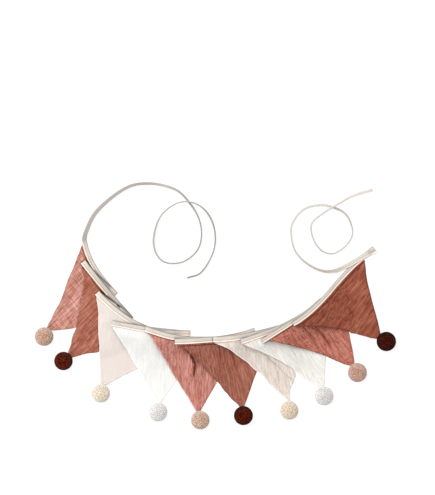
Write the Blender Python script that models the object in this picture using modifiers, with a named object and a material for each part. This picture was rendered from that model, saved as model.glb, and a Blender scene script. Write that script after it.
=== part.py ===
"""Fabric bunting: ten crinkled muslin flags caught in one folded tape, a pompom at each tip.

It lies on a flat surface with its flags overlapped, the first one lowest. After each flag the
tape folds back over that flag's corner and then forward again to carry the next one. Past the
first and the last flag the same tape runs on as a tie, stood on its edge in loose loops.

Metres, +Z up, with the surface at z = 0. The tables are in millimetres and degrees.
"""

import math
import random
from collections import namedtuple
from dataclasses import dataclass

import bmesh
import bpy
import numpy as np
from mathutils import Vector

MM = 0.001

# Cloth and its clearances
FLAG_THICKNESS = 1.0 * MM
GAP = 0.3 * MM                  # between pieces that touch on the real object
LOOSE = 0.5 * MM                # between one laid flag and the next
FOLD_AIR = 1.6 * MM             # inside a flag's folded corner

# Tape: a strip folded lengthwise, its leaves a slot apart where a flag is caught between them
TAPE_WIDTH = 12.0 * MM
LEAF = 0.45 * MM
FLAG_SLOT = FLAG_THICKNESS + 2 * GAP
TIE_SLOT = 0.4 * MM             # the leaves are sewn together along the ties
TAPE_THICKNESS = FLAG_SLOT + 2 * LEAF
FOLD_RADIUS = (TAPE_THICKNESS + GAP) / 2
FOLD_LENGTH = math.pi * FOLD_RADIUS
FOLD_REACH = FOLD_RADIUS + TAPE_THICKNESS / 2
FOLD_STEPS = 4
RUN_STEP = 18.0 * MM            # between sections along the binding
TIE_STEP = 10.0 * MM            # and along the ties
RUN_SLOPE = 0.6                 # steepest climb of the binding over what it lies on
FLAG_SLOPE = 0.4                # of a flag
TIE_SLOPE = 0.12                # and of a tie, which is stiff on its edge

# Flags
FLAG_TOP = 202.0 * MM           # length of the edge that is caught in the tape
FLAG_STEPS = 10
CAUGHT = 2.0 * MM               # how far past the tape's middle the flag reaches into the slot
FREE = 8.0 * MM                 # from the tape's middle to where the flag may bend freely
FIRST_ROW = 20.0 * MM           # and to the first points of the flag past that
SNAP = 0.35 * MM                # points this close to a fold line count as on it
TIP_RISE_FROM = 0.70            # share of the way down at which the tip starts to lift
TIP_HEIGHT = 11.0 * MM

# Pompoms: thirty locks of yarn around a small tied middle
POMPOM_RADIUS = 19.4 * MM
POMPOM_CENTRE_HEIGHT = 18.3 * MM
POMPOM_ROOT_RADIUS = 10.5 * MM
LOCK_WIDTH_SHARE = 0.84         # of its place, so that the locks stand apart
LOCK_UNEVENNESS = 0.7 * MM
YARN_SEED = 11

# Pile of what is already laid, kept on a grid of small cells
CELL = 2.0 * MM
PILE_HALF_X = 0.42
PILE_HALF_Y = 0.32

# Where the middle of the layout's box lies in the tables' numbers
LAYOUT_MIDDLE = (-0.1 * MM, -1.1 * MM)

# The tape's forward runs, each from its left end to the fold at its right end. The run back
# to the next one's left end follows from them. The last run ends where the right tie starts.
Run = namedtuple("Run", "left_x left_y left_heading fold_x fold_y fold_heading")
RUNS = (
    Run(-274, 131, -77, -208, 23, -47),
    Run(-278, 91, -53, -177, -30, -49),
    Run(-248, 26, -47, -119, -58, -15),
    Run(-217, -37, -11, -53, -58, 0),
    Run(-146, -47, -23, 3, -70, 2),
    Run(-85, -76, 3, 83, -54, 21),
    Run(-5, -73, 1, 136, -49, 15),
    Run(54, -75, 18, 190, -17, 33),
    Run(97, -73, 33, 225, 15, 41),
    Run(163, -38, 30, 335, 118, 32),
)

# The flags in the order of the runs: the cloth, the yarn, the pompom's place, the side of the
# pompom that the flag's tip meets, and how far the flag's left and right sides curve inwards.
Pennant = namedtuple("Pennant", "cloth yarn pompom_x pompom_y tip_bearing left_bow right_bow")
PENNANTS = (
    Pennant("pink", "tan", -360, -65, 40, 0, 0),
    Pennant("terracotta", "brown", -319, -116, 49, 12, 0),
    Pennant("cream", "cream", -240, -184, 72, 0, 0),
    Pennant("white", "white", -119, -224, 84, 0, 0),
    Pennant("pink", "tan", -31, -241, 103, 0, 0),
    Pennant("terracotta", "brown", 59, -231, 96, 7, 0),
    Pennant("cream", "cream", 155, -220, 93, 12, 0),
    Pennant("white", "white", 228, -190, 94, 7, 0),
    Pennant("pink", "tan", 299, -141, 119, 9, 0),
    Pennant("terracotta", "brown", 360, -76, 149, 9, 3),
)

# Soft folds in the flags: the flag's number, the place along its top edge and down to its tip
# as shares, the fold's height, and its half widths across and down, again as shares.
Pucker = namedtuple("Pucker", "flag along down height half_along half_down")
PUCKERS = (
    Pucker(5, 0.50, 0.35, 6.0, 0.10, 0.22),
    Pucker(6, 0.55, 0.30, 3.0, 0.20, 0.20),
)

# The ties, each from the binding outwards: the route and how far the tape leans over, from
# 0 lying flat to 90 standing on its edge.
TiePoint = namedtuple("TiePoint", "x y lean")
LEFT_TIE = (
    TiePoint(-273, 150, 30),
    TiePoint(-247, 199, 42),
    TiePoint(-187, 246, 55),
    TiePoint(-140, 256, 62),
    TiePoint(-91, 246, 66),
    TiePoint(-59, 220, 74),
    TiePoint(-37, 188, 82),
    TiePoint(-29, 152, 86),
    TiePoint(-37, 117, 86),
    TiePoint(-67, 92, 86),
    TiePoint(-104, 90, 84),
    TiePoint(-125, 111, 80),
    TiePoint(-129, 145, 75),
    TiePoint(-114, 188, 82),
    TiePoint(-80, 214, 86),
    TiePoint(-43, 214, 84),
    TiePoint(-16, 193, 76),
    TiePoint(-1, 156, 82),
    TiePoint(-4, 113, 86),
    TiePoint(-29, 70, 82),
    TiePoint(-59, 58, 75),
)
RIGHT_TIE = (
    TiePoint(281, 85, 5),
    TiePoint(249, 72, 35),
    TiePoint(220, 74, 60),
    TiePoint(189, 91, 74),
    TiePoint(168, 115, 82),
    TiePoint(160, 148, 84),
    TiePoint(163, 173, 82),
    TiePoint(186, 201, 74),
    TiePoint(221, 210, 66),
    TiePoint(252, 204, 64),
    TiePoint(277, 188, 70),
    TiePoint(289, 157, 82),
    TiePoint(282, 133, 86),
    TiePoint(261, 114, 88),
    TiePoint(242, 108, 86),
    TiePoint(220, 118, 86),
    TiePoint(204, 146, 88),
    TiePoint(204, 173, 86),
    TiePoint(229, 194, 82),
    TiePoint(258, 212, 75),
    TiePoint(289, 229, 66),
    TiePoint(331, 242, 62),
)
TIE_FIRST_SHARE = 0.62          # how much of a tie is laid before the part that crosses it
TIE_CROSSED_SHARE = 0.56        # and how much of it that part may lie on

COLOURS = {
    "pink": (0.62, 0.26, 0.22),
    "terracotta": (0.40, 0.13, 0.08),
    "cream": (0.80, 0.70, 0.61),
    "white": (0.88, 0.87, 0.84),
    "beige": (0.72, 0.65, 0.58),
    "tan": (0.58, 0.42, 0.30),
    "brown": (0.13, 0.02, 0.01),
}


class Route:
    """A smooth way in plan, read by the distance along it. Columns past x and y ride along."""

    def __init__(self, rows):
        self.rows = np.asarray(rows, float)
        steps = np.hypot(*np.diff(self.rows[:, :2], axis=0).T)
        self.marks = np.concatenate(([0.0], np.cumsum(steps)))
        self.length = self.marks[-1]

    def at(self, distance):
        return np.array([np.interp(distance, self.marks, column) for column in self.rows.T])

    def heading(self, distance):
        half = 1.0 * MM
        first = self.at(max(distance - half, 0.0))
        last = self.at(min(distance + half, self.length))
        return math.atan2(last[1] - first[1], last[0] - first[0])


def direction(heading):
    return np.array([math.cos(heading), math.sin(heading)])


def right_of(ahead):
    return np.array([ahead[1], -ahead[0]])


def place(x, y):
    """A place of the tables, in the part's own frame."""
    return np.array([x * MM, y * MM]) - np.array(LAYOUT_MIDDLE)


def curve_between(start, start_heading, end, end_heading, samples=120):
    """A cubic that leaves and arrives along the given headings."""
    reach = np.linalg.norm(end - start)
    leave = direction(start_heading) * reach
    arrive = direction(end_heading) * reach
    t = np.linspace(0.0, 1.0, samples)[:, None]
    points = (
        (2 * t**3 - 3 * t**2 + 1) * start
        + (t**3 - 2 * t**2 + t) * leave
        + (3 * t**2 - 2 * t**3) * end
        + (t**3 - t**2) * arrive
    )
    return Route(points)


def curve_through(rows, before, samples=16):
    """A Catmull-Rom curve through the rows, which comes from the point before the first."""
    rows = np.asarray(rows, float)
    lead_in = np.concatenate((before, rows[0][2:]))
    lead_out = 2 * rows[-1] - rows[-2]
    knots = np.vstack((lead_in, rows, lead_out))
    points = [rows[0]]
    for a, b, c, d in zip(knots, knots[1:], knots[2:], knots[3:]):
        for step in range(1, samples + 1):
            t = step / samples
            points.append(0.5 * (2 * b + (c - a) * t + (2 * a - 5 * b + 4 * c - d) * t**2
                                 + (3 * b - a - 3 * c + d) * t**3))
    return Route(points)


class Pile:
    """How high the cloth already laid reaches, on a grid over the surface."""

    def __init__(self):
        self.tops = np.zeros((int(2 * PILE_HALF_X / CELL), int(2 * PILE_HALF_Y / CELL)))

    def cells(self, points):
        places = np.asarray(points)[..., :2] + (PILE_HALF_X, PILE_HALF_Y)
        return np.floor(places / CELL).astype(int).T

    def add(self, points, tops):
        np.maximum.at(self.tops, tuple(self.cells(points)), tops)

    def add_cloth(self, triangles):
        for corners in triangles:
            points = sheet_points(corners)
            self.add(points, points[:, 2] + FLAG_THICKNESS / 2)

    def height(self, points):
        """The highest cloth under the points and within a cell of them."""
        i, j = self.cells(points)
        around = [self.tops[i + di, j + dj] for di in (-1, 0, 1) for dj in (-1, 0, 1)]
        return float(np.max(around))


def rest(top, below, gap):
    """Height of the middle of cloth that reaches `below` under its middle, laid on `top`."""
    return top + gap + below if top > 0 else below


def sheet_points(corners, samples=12):
    """Points all over a triangle."""
    weights = np.array([(i, j, samples - i - j) for i in range(samples + 1)
                        for j in range(samples + 1 - i)]) / samples
    return weights @ np.asarray(corners)


def tape_points(first, last, slot_reach=None, samples=13):
    """Points all over the tape between two stations, or further out on its slot's side."""
    points = []
    for t in np.linspace(0.0, 1.0, samples):
        middle = (1 - t) * first.plan() + t * last.plan()
        top = (1 - t) * first.top() + t * last.top()
        for share in np.linspace(-1.0, 1.0, samples):
            across = (1 - t) * first.plan_across() + t * last.plan_across()
            if slot_reach and share > 0:
                across = across * slot_reach / np.linalg.norm(across)
            points.append([*(middle + share * across), top])
    return np.array(points)


@dataclass
class Station:
    """One cross-section of the tape."""

    x: float
    y: float
    heading: float              # way of travel, in plan
    side: int                   # 1 where the slot opens to the right of travel, -1 to the left
    slot: float                 # between the two leaves
    lean: float = 0.0           # 0 lying flat, a right angle standing on its edge
    z: float = 0.0

    def plan(self):
        return np.array([self.x, self.y])

    def slot_side(self):
        return self.side * right_of(direction(self.heading))

    def half_thickness(self):
        return self.slot / 2 + LEAF

    def half_height(self):
        return TAPE_WIDTH / 2 * math.sin(self.lean) + self.half_thickness() * math.cos(self.lean)

    def top(self):
        return self.z + self.half_height()

    def plan_across(self):
        half = TAPE_WIDTH / 2 * math.cos(self.lean) + self.half_thickness() * math.sin(self.lean)
        return half * self.slot_side()

    def section(self, way):
        """Corners of the folded strip's middle surface: leaf edge, fold, fold, leaf edge."""
        level = self.slot_side() * math.cos(self.lean)
        across = Vector((level[0], level[1], -math.sin(self.lean)))
        normal = Vector(way).cross(across).normalized()
        edge = TAPE_WIDTH / 2
        leaf = (self.slot + LEAF) / 2
        corners = ((edge, -leaf), (LEAF / 2 - edge, -leaf), (LEAF / 2 - edge, leaf), (edge, leaf))
        middle = Vector((self.x, self.y, self.z))
        return [middle + across * w + normal * n for w, n in corners]


def ways_along(stations):
    """The tape's way of travel at each station, halfway between the steps to it and from it."""
    steps = np.diff([(s.x, s.y, s.z) for s in stations], axis=0)
    steps /= np.linalg.norm(steps, axis=1, keepdims=True)
    return np.vstack((steps[:1], steps[:-1] + steps[1:], steps[-1:]))


def ease(places, heights, slope):
    """The lowest heights that clear the given ones and climb no steeper than the slope."""
    places = np.asarray(places, float).reshape(len(heights), -1)
    distances = np.linalg.norm(places[:, None, :] - places[None, :, :], axis=2)
    return (np.asarray(heights)[None, :] - slope * distances).max(axis=1)


def stations_on(route, marks, side, slot):
    """Tape lying flat along a route, at the given distances."""
    return [Station(*route.at(mark)[:2], route.heading(mark), side, slot) for mark in marks]


def settle(stations, pile, slope, slot_reach=None):
    """Heights of a stretch of tape laid on the pile."""
    tops = np.zeros(len(stations))
    for index, (first, last) in enumerate(zip(stations, stations[1:])):
        top = pile.height(tape_points(first, last, slot_reach))
        tops[index] = max(tops[index], top)
        tops[index + 1] = max(tops[index + 1], top)
    heights = [rest(top, s.half_height(), GAP) for top, s in zip(tops, stations)]
    return ease([s.plan() for s in stations], heights, slope)


def fold_between(before, after):
    """The stations of a fold that turns the tape over and back on itself."""
    stations = []
    half_climb = (after.z - before.z) / 2
    for step in range(1, FOLD_STEPS):
        turn = math.pi * step / FOLD_STEPS
        out = before.plan() + FOLD_RADIUS * math.sin(turn) * direction(before.heading)
        height = before.z + half_climb * (1 - math.cos(turn))
        stations.append(Station(*out, before.heading, before.side, before.slot, z=height))
    return stations


def spaced(start, end, step):
    return np.linspace(start, end, max(2, round((end - start) / step) + 1))


def run_route(row):
    """A forward run between the insides of its two folds."""
    left_heading = math.radians(row.left_heading)
    fold_heading = math.radians(row.fold_heading)
    start = place(row.left_x, row.left_y) + FOLD_REACH * direction(left_heading)
    end = place(row.fold_x, row.fold_y) - FOLD_REACH * direction(fold_heading)
    return curve_between(start, left_heading, end, fold_heading)


def back_route(run, next_run):
    """The run back from a fold to the next forward run's left end."""
    start_heading = run.heading(run.length) + math.pi
    end_heading = next_run.heading(0.0) + math.pi
    return curve_between(run.at(run.length), start_heading, next_run.at(0.0), end_heading)


def flag_marks(length):
    """Distances of the flag's columns along its top edge, one of them at the tape's fold."""
    if length >= FLAG_TOP:
        return np.linspace(0.0, FLAG_TOP, FLAG_STEPS + 1)
    forward = round(FLAG_STEPS * length / FLAG_TOP)
    ahead = np.linspace(0.0, length, forward + 1)
    folded = np.linspace(length, FLAG_TOP, FLAG_STEPS - forward + 1)
    return np.concatenate((ahead, folded[1:]))


class Flag:
    """A triangle of cloth, laid out flat, folded over at the tape's fold, and draped."""

    def __init__(self, number, row, run):
        self.number = number
        self.run = run
        self.marks = flag_marks(run.length)
        bearing = math.radians(row.tip_bearing)
        drop = POMPOM_CENTRE_HEIGHT - TIP_HEIGHT
        reach = math.sqrt((POMPOM_RADIUS + GAP)**2 - drop**2)
        self.tip = place(row.pompom_x, row.pompom_y) + reach * direction(bearing)
        self.fold_place = run.at(run.length)
        self.fold_way = direction(run.heading(run.length))
        left, right = self.head(0.0, FREE), self.head(FLAG_TOP, FREE)
        self.left_bow = self.inward(left, right) * row.left_bow * MM
        self.right_bow = self.inward(right, left) * row.right_bow * MM
        self.mesh = self.flat_mesh()

    def head(self, top, drop):
        """A point of the flat flag at a distance along its top edge, `drop` off the tape's middle."""
        inside = min(top, self.run.length)
        ahead = direction(self.run.heading(inside))
        return self.run.at(inside) + (top - inside) * ahead + drop * right_of(ahead)

    def inward(self, corner, other):
        """Unit vector off the side from a corner to the tip, towards the other corner."""
        side = (self.tip - corner) / np.linalg.norm(self.tip - corner)
        off = (other - corner) - side * np.dot(other - corner, side)
        return off / np.linalg.norm(off)

    def flat_mesh(self):
        mesh = bmesh.new()
        corners = [mesh.verts.new(co) for co in ((0, 0, 0), (1, 0, 0), (0, 1, 0))]
        mesh.faces.new(reversed(corners))
        bmesh.ops.subdivide_edges(mesh, edges=mesh.edges[:], cuts=FLAG_STEPS - 1,
                                  use_grid_fill=True)
        top_edges = [e for e in mesh.edges if all(v.co.y < 1e-6 for v in e.verts)]
        raised = bmesh.ops.extrude_edge_only(mesh, edges=top_edges)["geom"]
        for vert in raised:
            if isinstance(vert, bmesh.types.BMVert):
                vert.co.y = -1.0
        self.top = mesh.verts.layers.float.new("top")
        self.down = mesh.verts.layers.float.new("down")
        for vert in mesh.verts:
            down = vert.co.y
            share = vert.co.x / (1 - down) if 0 < down < 1 - 1e-6 else vert.co.x
            top = np.interp(share, np.linspace(0, 1, len(self.marks)), self.marks)
            vert[self.top] = top
            vert[self.down] = down
            vert.co = (*self.flat_place(share, top, down), 0.0)
        self.cut_fold_lines(mesh)
        bmesh.ops.triangulate(mesh, faces=mesh.faces[:])
        return mesh

    def flat_place(self, share, top, down):
        if down < 0:
            return self.head(top, -CAUGHT)
        bow = 4 * down * (1 - down)
        curve = (1 - share) * self.left_bow + share * self.right_bow
        return (1 - down) * self.head(top, FREE) + down * self.tip + bow * curve

    def cut_fold_lines(self, mesh):
        """Edges across the cloth where it bends over, square to the tape."""
        if self.run.length >= FLAG_TOP:
            return
        for step in range(FOLD_STEPS + 1):
            line = self.fold_place + FOLD_LENGTH * step / FOLD_STEPS * self.fold_way
            bmesh.ops.bisect_plane(mesh, geom=mesh.verts[:] + mesh.edges[:] + mesh.faces[:],
                                   dist=SNAP, plane_co=(*line, 0.0),
                                   plane_no=(*self.fold_way, 0.0))

    def past_fold(self, vert):
        return float(np.dot(np.array(vert.co[:2]) - self.fold_place, self.fold_way))

    def drape_lower(self, stations, pile):
        """Heights of all that is not folded over."""
        self.bends = {v: self.past_fold(v) for v in self.mesh.verts}
        if self.run.length >= FLAG_TOP:
            self.bends = dict.fromkeys(self.bends, 0.0)
        self.lower = [v for v, past in self.bends.items() if past <= SNAP]
        self.upper = [v for v, past in self.bends.items() if past >= FOLD_LENGTH - SNAP]
        self.drape(self.lower, stations, 0.0, pile, LOOSE)

    def drape(self, verts, stations, start, pile, air):
        """Lay part of the cloth on the pile. In the slot it keeps to the tape's heights."""
        steps = [np.linalg.norm(b.plan() - a.plan()) for a, b in zip(stations, stations[1:])]
        marks = start + np.concatenate(([0.0], np.cumsum(steps)))
        tape_heights = [s.z for s in stations]
        tops = dict.fromkeys(verts, 0.0)
        for face in self.mesh.faces:
            if all(v in tops or self.in_bend(v) for v in face.verts):
                top = pile.height(sheet_points([v.co for v in face.verts]))
                for vert in tops.keys() & set(face.verts):
                    tops[vert] = max(tops[vert], top)
        for vert in verts:
            if vert[self.down] <= 1e-6:
                vert.co.z = np.interp(vert[self.top], marks, tape_heights)
            else:
                vert.co.z = rest(tops[vert], FLAG_THICKNESS / 2, air) + self.pucker(vert)
        eased = ease([v.co[:2] for v in verts], [v.co.z for v in verts], FLAG_SLOPE)
        for vert, height in zip(verts, eased):
            if vert[self.down] > 1e-6:
                lift = max((vert[self.down] - TIP_RISE_FROM) / (1 - TIP_RISE_FROM), 0.0)
                vert.co.z = height + (TIP_HEIGHT - height) * lift**2

    def pucker(self, vert):
        down = vert[self.down]
        along = vert[self.top] / FLAG_TOP
        height = 0.0
        for row in PUCKERS:
            if row.flag == self.number:
                off = ((along - row.along) / row.half_along)**2
                off += ((down - row.down) / row.half_down)**2
                height += row.height * MM * math.exp(-off)
        return height

    def fold_over(self, back, stations, pile):
        """Turn the far corner over on its fold, then drape it along the run back."""
        low_line = [v for v in self.lower if abs(self.bends[v]) <= SNAP]
        high_line = [v for v in self.upper if abs(self.bends[v] - FOLD_LENGTH) <= SNAP]
        for vert, past in self.bends.items():
            if past > SNAP:
                vert.co.x, vert.co.y = self.turned_over(vert, past, back)
        self.drape(self.upper, stations, self.run.length + FOLD_LENGTH, pile, FOLD_AIR)
        low = self.heights_along_fold(low_line)
        high = self.heights_along_fold(high_line)
        for vert, past in self.bends.items():
            if self.in_bend(vert):
                across = self.along_crease(vert)
                z_low = np.interp(across, *low)
                z_high = np.interp(across, *high)
                turn = (1 - math.cos(past / FOLD_RADIUS)) / 2
                vert.co.z = z_low + (z_high - z_low) * turn

    def turned_over(self, vert, past, back):
        """Plan place of a point past the fold: round the bend, then along the run back."""
        bent = min(past, FOLD_LENGTH)
        out = FOLD_RADIUS * math.sin(bent / FOLD_RADIUS) - (past - bent)
        moved = np.array(vert.co[:2]) + (out - past) * self.fold_way
        if past < FOLD_LENGTH:
            return moved
        returned = max(vert[self.top] - self.run.length - FOLD_LENGTH, 0.0)
        drop = FREE if vert[self.down] >= 0 else -CAUGHT
        straight = self.fold_place - returned * self.fold_way + drop * right_of(self.fold_way)
        ahead = direction(back.heading(returned))
        followed = back.at(returned) - drop * right_of(ahead)
        return moved + (1 - max(vert[self.down], 0.0)) * (followed - straight)

    def in_bend(self, vert):
        return SNAP < self.bends[vert] < FOLD_LENGTH - SNAP

    def along_crease(self, vert):
        crease = np.array([-self.fold_way[1], self.fold_way[0]])
        return float(np.dot(np.array(vert.co[:2]) - self.fold_place, crease))

    def heights_along_fold(self, verts):
        pairs = sorted((self.along_crease(v), v.co.z) for v in verts)
        return [p[0] for p in pairs], [p[1] for p in pairs]

    def triangles(self, verts=None):
        chosen = None if verts is None else set(verts)
        return [[tuple(v.co) for v in face.verts] for face in self.mesh.faces
                if chosen is None or all(v in chosen for v in face.verts)]


def lay_bunting():
    """Lay the tape and the flags in their order. Returns the tape's stations and the flags."""
    pile = Pile()
    routes = [run_route(row) for row in RUNS]
    tape = lay_left_tie(routes[0], pile)
    flags = []
    for index, route in enumerate(routes):
        flag = Flag(index + 1, PENNANTS[index], route)
        flags.append(flag)
        forward = lay_forward(route, flag, pile)
        if index:
            tape += fold_between(tape[-1], forward[0])
        tape += forward
        if index + 1 < len(routes):
            returning = lay_back(route, back_route(route, routes[index + 1]), flag, pile)
            tape += fold_between(forward[-1], returning[0]) + returning
    right = lay_right_tie(tape[-1], pile)
    tape += fold_between(tape[-1], right[0]) + right
    return tape, flags


def lay_forward(route, flag, pile):
    """A forward run, with all of its flag that isn't folded over."""
    marks = flag.marks[flag.marks <= route.length + SNAP]
    if route.length > FLAG_TOP:
        marks = np.concatenate((marks, spaced(FLAG_TOP, route.length, RUN_STEP)[1:]))
    stations = stations_on(route, marks, 1, FLAG_SLOT)
    raise_to(stations, settle(stations, pile, RUN_SLOPE, FIRST_ROW))
    flag.drape_lower(stations, pile)
    add_tape(pile, stations)
    pile.add_cloth(flag.triangles(flag.lower))
    return stations


def lay_back(route, back, flag, pile):
    """The run back from a fold, with the flag's far corner."""
    caught = flag.marks[flag.marks > route.length + SNAP] - route.length - FOLD_LENGTH
    bare = spaced(caught[-1], back.length, RUN_STEP)[1:]
    stations = stations_on(back, np.concatenate(([0.0], caught, bare)), -1, FLAG_SLOT)
    raise_to(stations, settle(stations, pile, RUN_SLOPE, FIRST_ROW))
    flag.fold_over(back, stations, pile)
    add_tape(pile, stations)
    pile.add_cloth(flag.triangles())
    return stations


def raise_to(stations, heights):
    for station, height in zip(stations, heights):
        station.z = height


def add_tape(pile, stations):
    for first, last in zip(stations, stations[1:]):
        points = tape_points(first, last)
        pile.add(points, points[:, 2])


def tie_stations(route, side):
    """A tie from the binding outwards. Its leaves close up just past the binding."""
    marks = spaced(0.0, route.length, TIE_STEP)
    stations = []
    for mark in marks:
        x, y, lean = route.at(mark)
        slot = FLAG_SLOT if mark == 0 else TIE_SLOT
        stations.append(Station(x, y, route.heading(mark), side, slot, lean=lean))
    return marks, stations


def lay_tie(marks, stations, pile):
    """The first part lies down before the part that crosses over it."""
    crossed = [s for s, mark in zip(stations, marks) if mark <= TIE_CROSSED_SHARE * marks[-1]]
    early = [s for s, mark in zip(stations, marks) if mark <= TIE_FIRST_SHARE * marks[-1]]
    late = stations[len(early) - 1:]
    raise_to(early, settle(early, pile, TIE_SLOPE))
    add_tape(pile, crossed)
    joint = late[0].z
    raise_to(late, settle(late, pile, TIE_SLOPE))
    late[0].z = joint


def tie_route(rows, start, before):
    """A tie's route, which starts flat at the binding."""
    points = [np.array([*start, 0.0])]
    points += [np.array([*place(row.x, row.y), math.radians(row.lean)]) for row in rows]
    return curve_through(points, before)


def lay_left_tie(first_run, pile):
    """The left tie, in the tape's order: from its free end to the first flag."""
    route = tie_route(LEFT_TIE, first_run.at(0.0), first_run.at(RUN_STEP))
    marks, stations = tie_stations(route, -1)
    lay_tie(marks, stations, pile)
    for station in stations:
        station.heading += math.pi
        station.side = 1
    return stations[:0:-1]


def lay_right_tie(last, pile):
    """The right tie, from the fold past the last flag to its free end."""
    ahead = last.plan() + RUN_STEP * direction(last.heading)
    route = tie_route(RIGHT_TIE, last.plan(), ahead)
    marks, stations = tie_stations(route, -1)
    stations[0].heading = last.heading + math.pi
    lay_tie(marks, stations, pile)
    return stations


def material(name, colour):
    made = bpy.data.materials.new(name)
    made.use_nodes = True
    shader = made.node_tree.nodes["Principled BSDF"]
    shader.inputs["Base Color"].default_value = (*colour, 1.0)
    shader.inputs["Roughness"].default_value = 0.9
    shader.inputs["Metallic"].default_value = 0.0
    return made


def add_object(name, mesh, colour, collection):
    data = bpy.data.meshes.new(name)
    mesh.to_mesh(data)
    mesh.free()
    made = bpy.data.objects.new(name, data)
    data.materials.append(material(name, COLOURS[colour]))
    collection.objects.link(made)
    return made


def thicken(made, thickness):
    shell = made.modifiers.new("thickness", "SOLIDIFY")
    shell.thickness = thickness
    shell.offset = 0.0
    shell.use_even_offset = True


def build_tape(stations, collection):
    """A grid bent to the tape's sections, four points around by one station along."""
    mesh = bmesh.new()
    bmesh.ops.create_grid(mesh, x_segments=len(stations) - 1, y_segments=3, size=0.5)
    ways = ways_along(stations)
    sections = [station.section(way) for station, way in zip(stations, ways)]
    for vert in mesh.verts:
        column = round((vert.co.x + 0.5) * (len(stations) - 1))
        row = round((vert.co.y + 0.5) * 3)
        vert.co = sections[column][row]
    bmesh.ops.triangulate(mesh, faces=mesh.faces[:], quad_method="SHORT_EDGE")
    thicken(add_object("binding_tape", mesh, "beige", collection), LEAF)


def build_flag(flag, row, collection):
    made = add_object(f"flag_{flag.number:02d}", flag.mesh, row.cloth, collection)
    thicken(made, FLAG_THICKNESS)


def build_pompom(number, row, collection, chance):
    """Thirty faces of a ball, each drawn out into a four-sided lock of yarn."""
    mesh = bmesh.new()
    bmesh.ops.create_icosphere(mesh, subdivisions=1, radius=1.0)
    first_edges = mesh.edges[:]
    bmesh.ops.poke(mesh, faces=mesh.faces[:])
    bmesh.ops.dissolve_edges(mesh, edges=first_edges)
    for vert in mesh.verts:
        vert.co = vert.co.normalized() * POMPOM_ROOT_RADIUS
    ends = bmesh.ops.extrude_discrete_faces(mesh, faces=mesh.faces[:])["faces"]
    tip_way = math.radians(row.tip_bearing)
    drop = POMPOM_CENTRE_HEIGHT - TIP_HEIGHT
    level = math.sqrt(POMPOM_RADIUS**2 - drop**2)
    to_tip = Vector((*(direction(tip_way) * level), -drop)).normalized()
    facing = ends[0].calc_center_median().normalized()
    turn = facing.rotation_difference(to_tip)
    for end in ends:
        middle = end.calc_center_median().normalized()
        length = POMPOM_RADIUS
        if end is not ends[0]:
            length -= chance.uniform(0.0, LOCK_UNEVENNESS)
        for vert in end.verts:
            outward = middle.lerp(vert.co.normalized(), LOCK_WIDTH_SHARE)
            vert.co = outward * (length / outward.dot(middle))
    centre = Vector((*place(row.pompom_x, row.pompom_y), POMPOM_CENTRE_HEIGHT))
    for vert in mesh.verts:
        vert.co = turn @ vert.co + centre
        vert.co.z = max(vert.co.z, 0.0)
    bmesh.ops.recalc_face_normals(mesh, faces=mesh.faces[:])
    add_object(f"pompom_{number:02d}", mesh, row.yarn, collection)


def build_part():
    for old in list(bpy.data.objects):
        bpy.data.objects.remove(old, do_unlink=True)
    collection = bpy.data.collections.new("fabric_bunting")
    bpy.context.scene.collection.children.link(collection)
    tape, flags = lay_bunting()
    build_tape(tape, collection)
    for flag, row in zip(flags, PENNANTS):
        build_flag(flag, row, collection)
    chance = random.Random(YARN_SEED)
    for number, row in enumerate(PENNANTS, 1):
        build_pompom(number, row, collection, chance)


build_part()
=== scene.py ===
"""The looks of a fabric bunting laid out flat: muslin flags, a folded tape with two ties, pompoms.

Metres, +Z up, in the frame of the solids. The surface is at z = 0.
"""

import math
from collections import namedtuple

import bmesh
import bpy
import numpy as np
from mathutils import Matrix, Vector, kdtree, noise


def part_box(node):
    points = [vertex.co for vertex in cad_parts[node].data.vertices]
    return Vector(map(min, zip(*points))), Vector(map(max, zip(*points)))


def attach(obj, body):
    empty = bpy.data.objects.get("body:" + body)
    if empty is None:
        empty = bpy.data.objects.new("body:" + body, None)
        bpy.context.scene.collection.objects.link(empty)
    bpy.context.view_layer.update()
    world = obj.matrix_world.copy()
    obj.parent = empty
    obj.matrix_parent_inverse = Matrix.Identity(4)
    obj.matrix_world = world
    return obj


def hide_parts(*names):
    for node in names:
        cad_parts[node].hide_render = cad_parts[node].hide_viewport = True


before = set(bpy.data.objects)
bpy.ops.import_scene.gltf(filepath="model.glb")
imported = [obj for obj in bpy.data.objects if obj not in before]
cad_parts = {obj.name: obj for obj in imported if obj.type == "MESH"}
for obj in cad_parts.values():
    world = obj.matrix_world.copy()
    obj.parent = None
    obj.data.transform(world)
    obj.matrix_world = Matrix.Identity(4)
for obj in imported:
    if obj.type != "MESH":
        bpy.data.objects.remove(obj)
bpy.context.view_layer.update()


# The view, from straight above. The picture takes in 0.9135 m by 1.0395 m of the surface, with
# the bunting in its lower part.
PICTURE_HEIGHT = 1.0395
PICTURE_MIDDLE = (0.0049, 0.1227)
CAMERA_HEIGHT = 3.6
SCALE_HEIGHT = 0.012  # where the picture's scale is true, halfway up the cloth


def placed(name, data):
    """A new object in the scene."""
    thing = bpy.data.objects.new(name, data)
    bpy.context.scene.collection.objects.link(thing)
    return thing


camera = placed("camera", bpy.data.cameras.new("camera"))
camera.location = (*PICTURE_MIDDLE, CAMERA_HEIGHT)
camera.data.lens = camera.data.sensor_width * (CAMERA_HEIGHT - SCALE_HEIGHT) / PICTURE_HEIGHT
bpy.context.scene.camera = camera
bpy.context.scene.view_settings.view_transform = "Standard"


# The surface and the light: a white table that glows a little, so that it stays white under the
# cloth's soft shadows, a white room, and a large lamp from the upper left.
TABLE_SIZE = 8.0
TABLE_TOP = -0.0003  # a little under the cloth
TABLE_GREY = (0.20, 0.20, 0.20, 1.0)
TABLE_GLOW = 0.82
WHITE = (1.0, 1.0, 1.0, 1.0)
ROOM_STRENGTH = 0.556
LAMP_SIZE = 3.0
LAMP_PLACE = (-1.1, 1.0, 2.4)
LAMP_WATTS = 105.0


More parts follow.
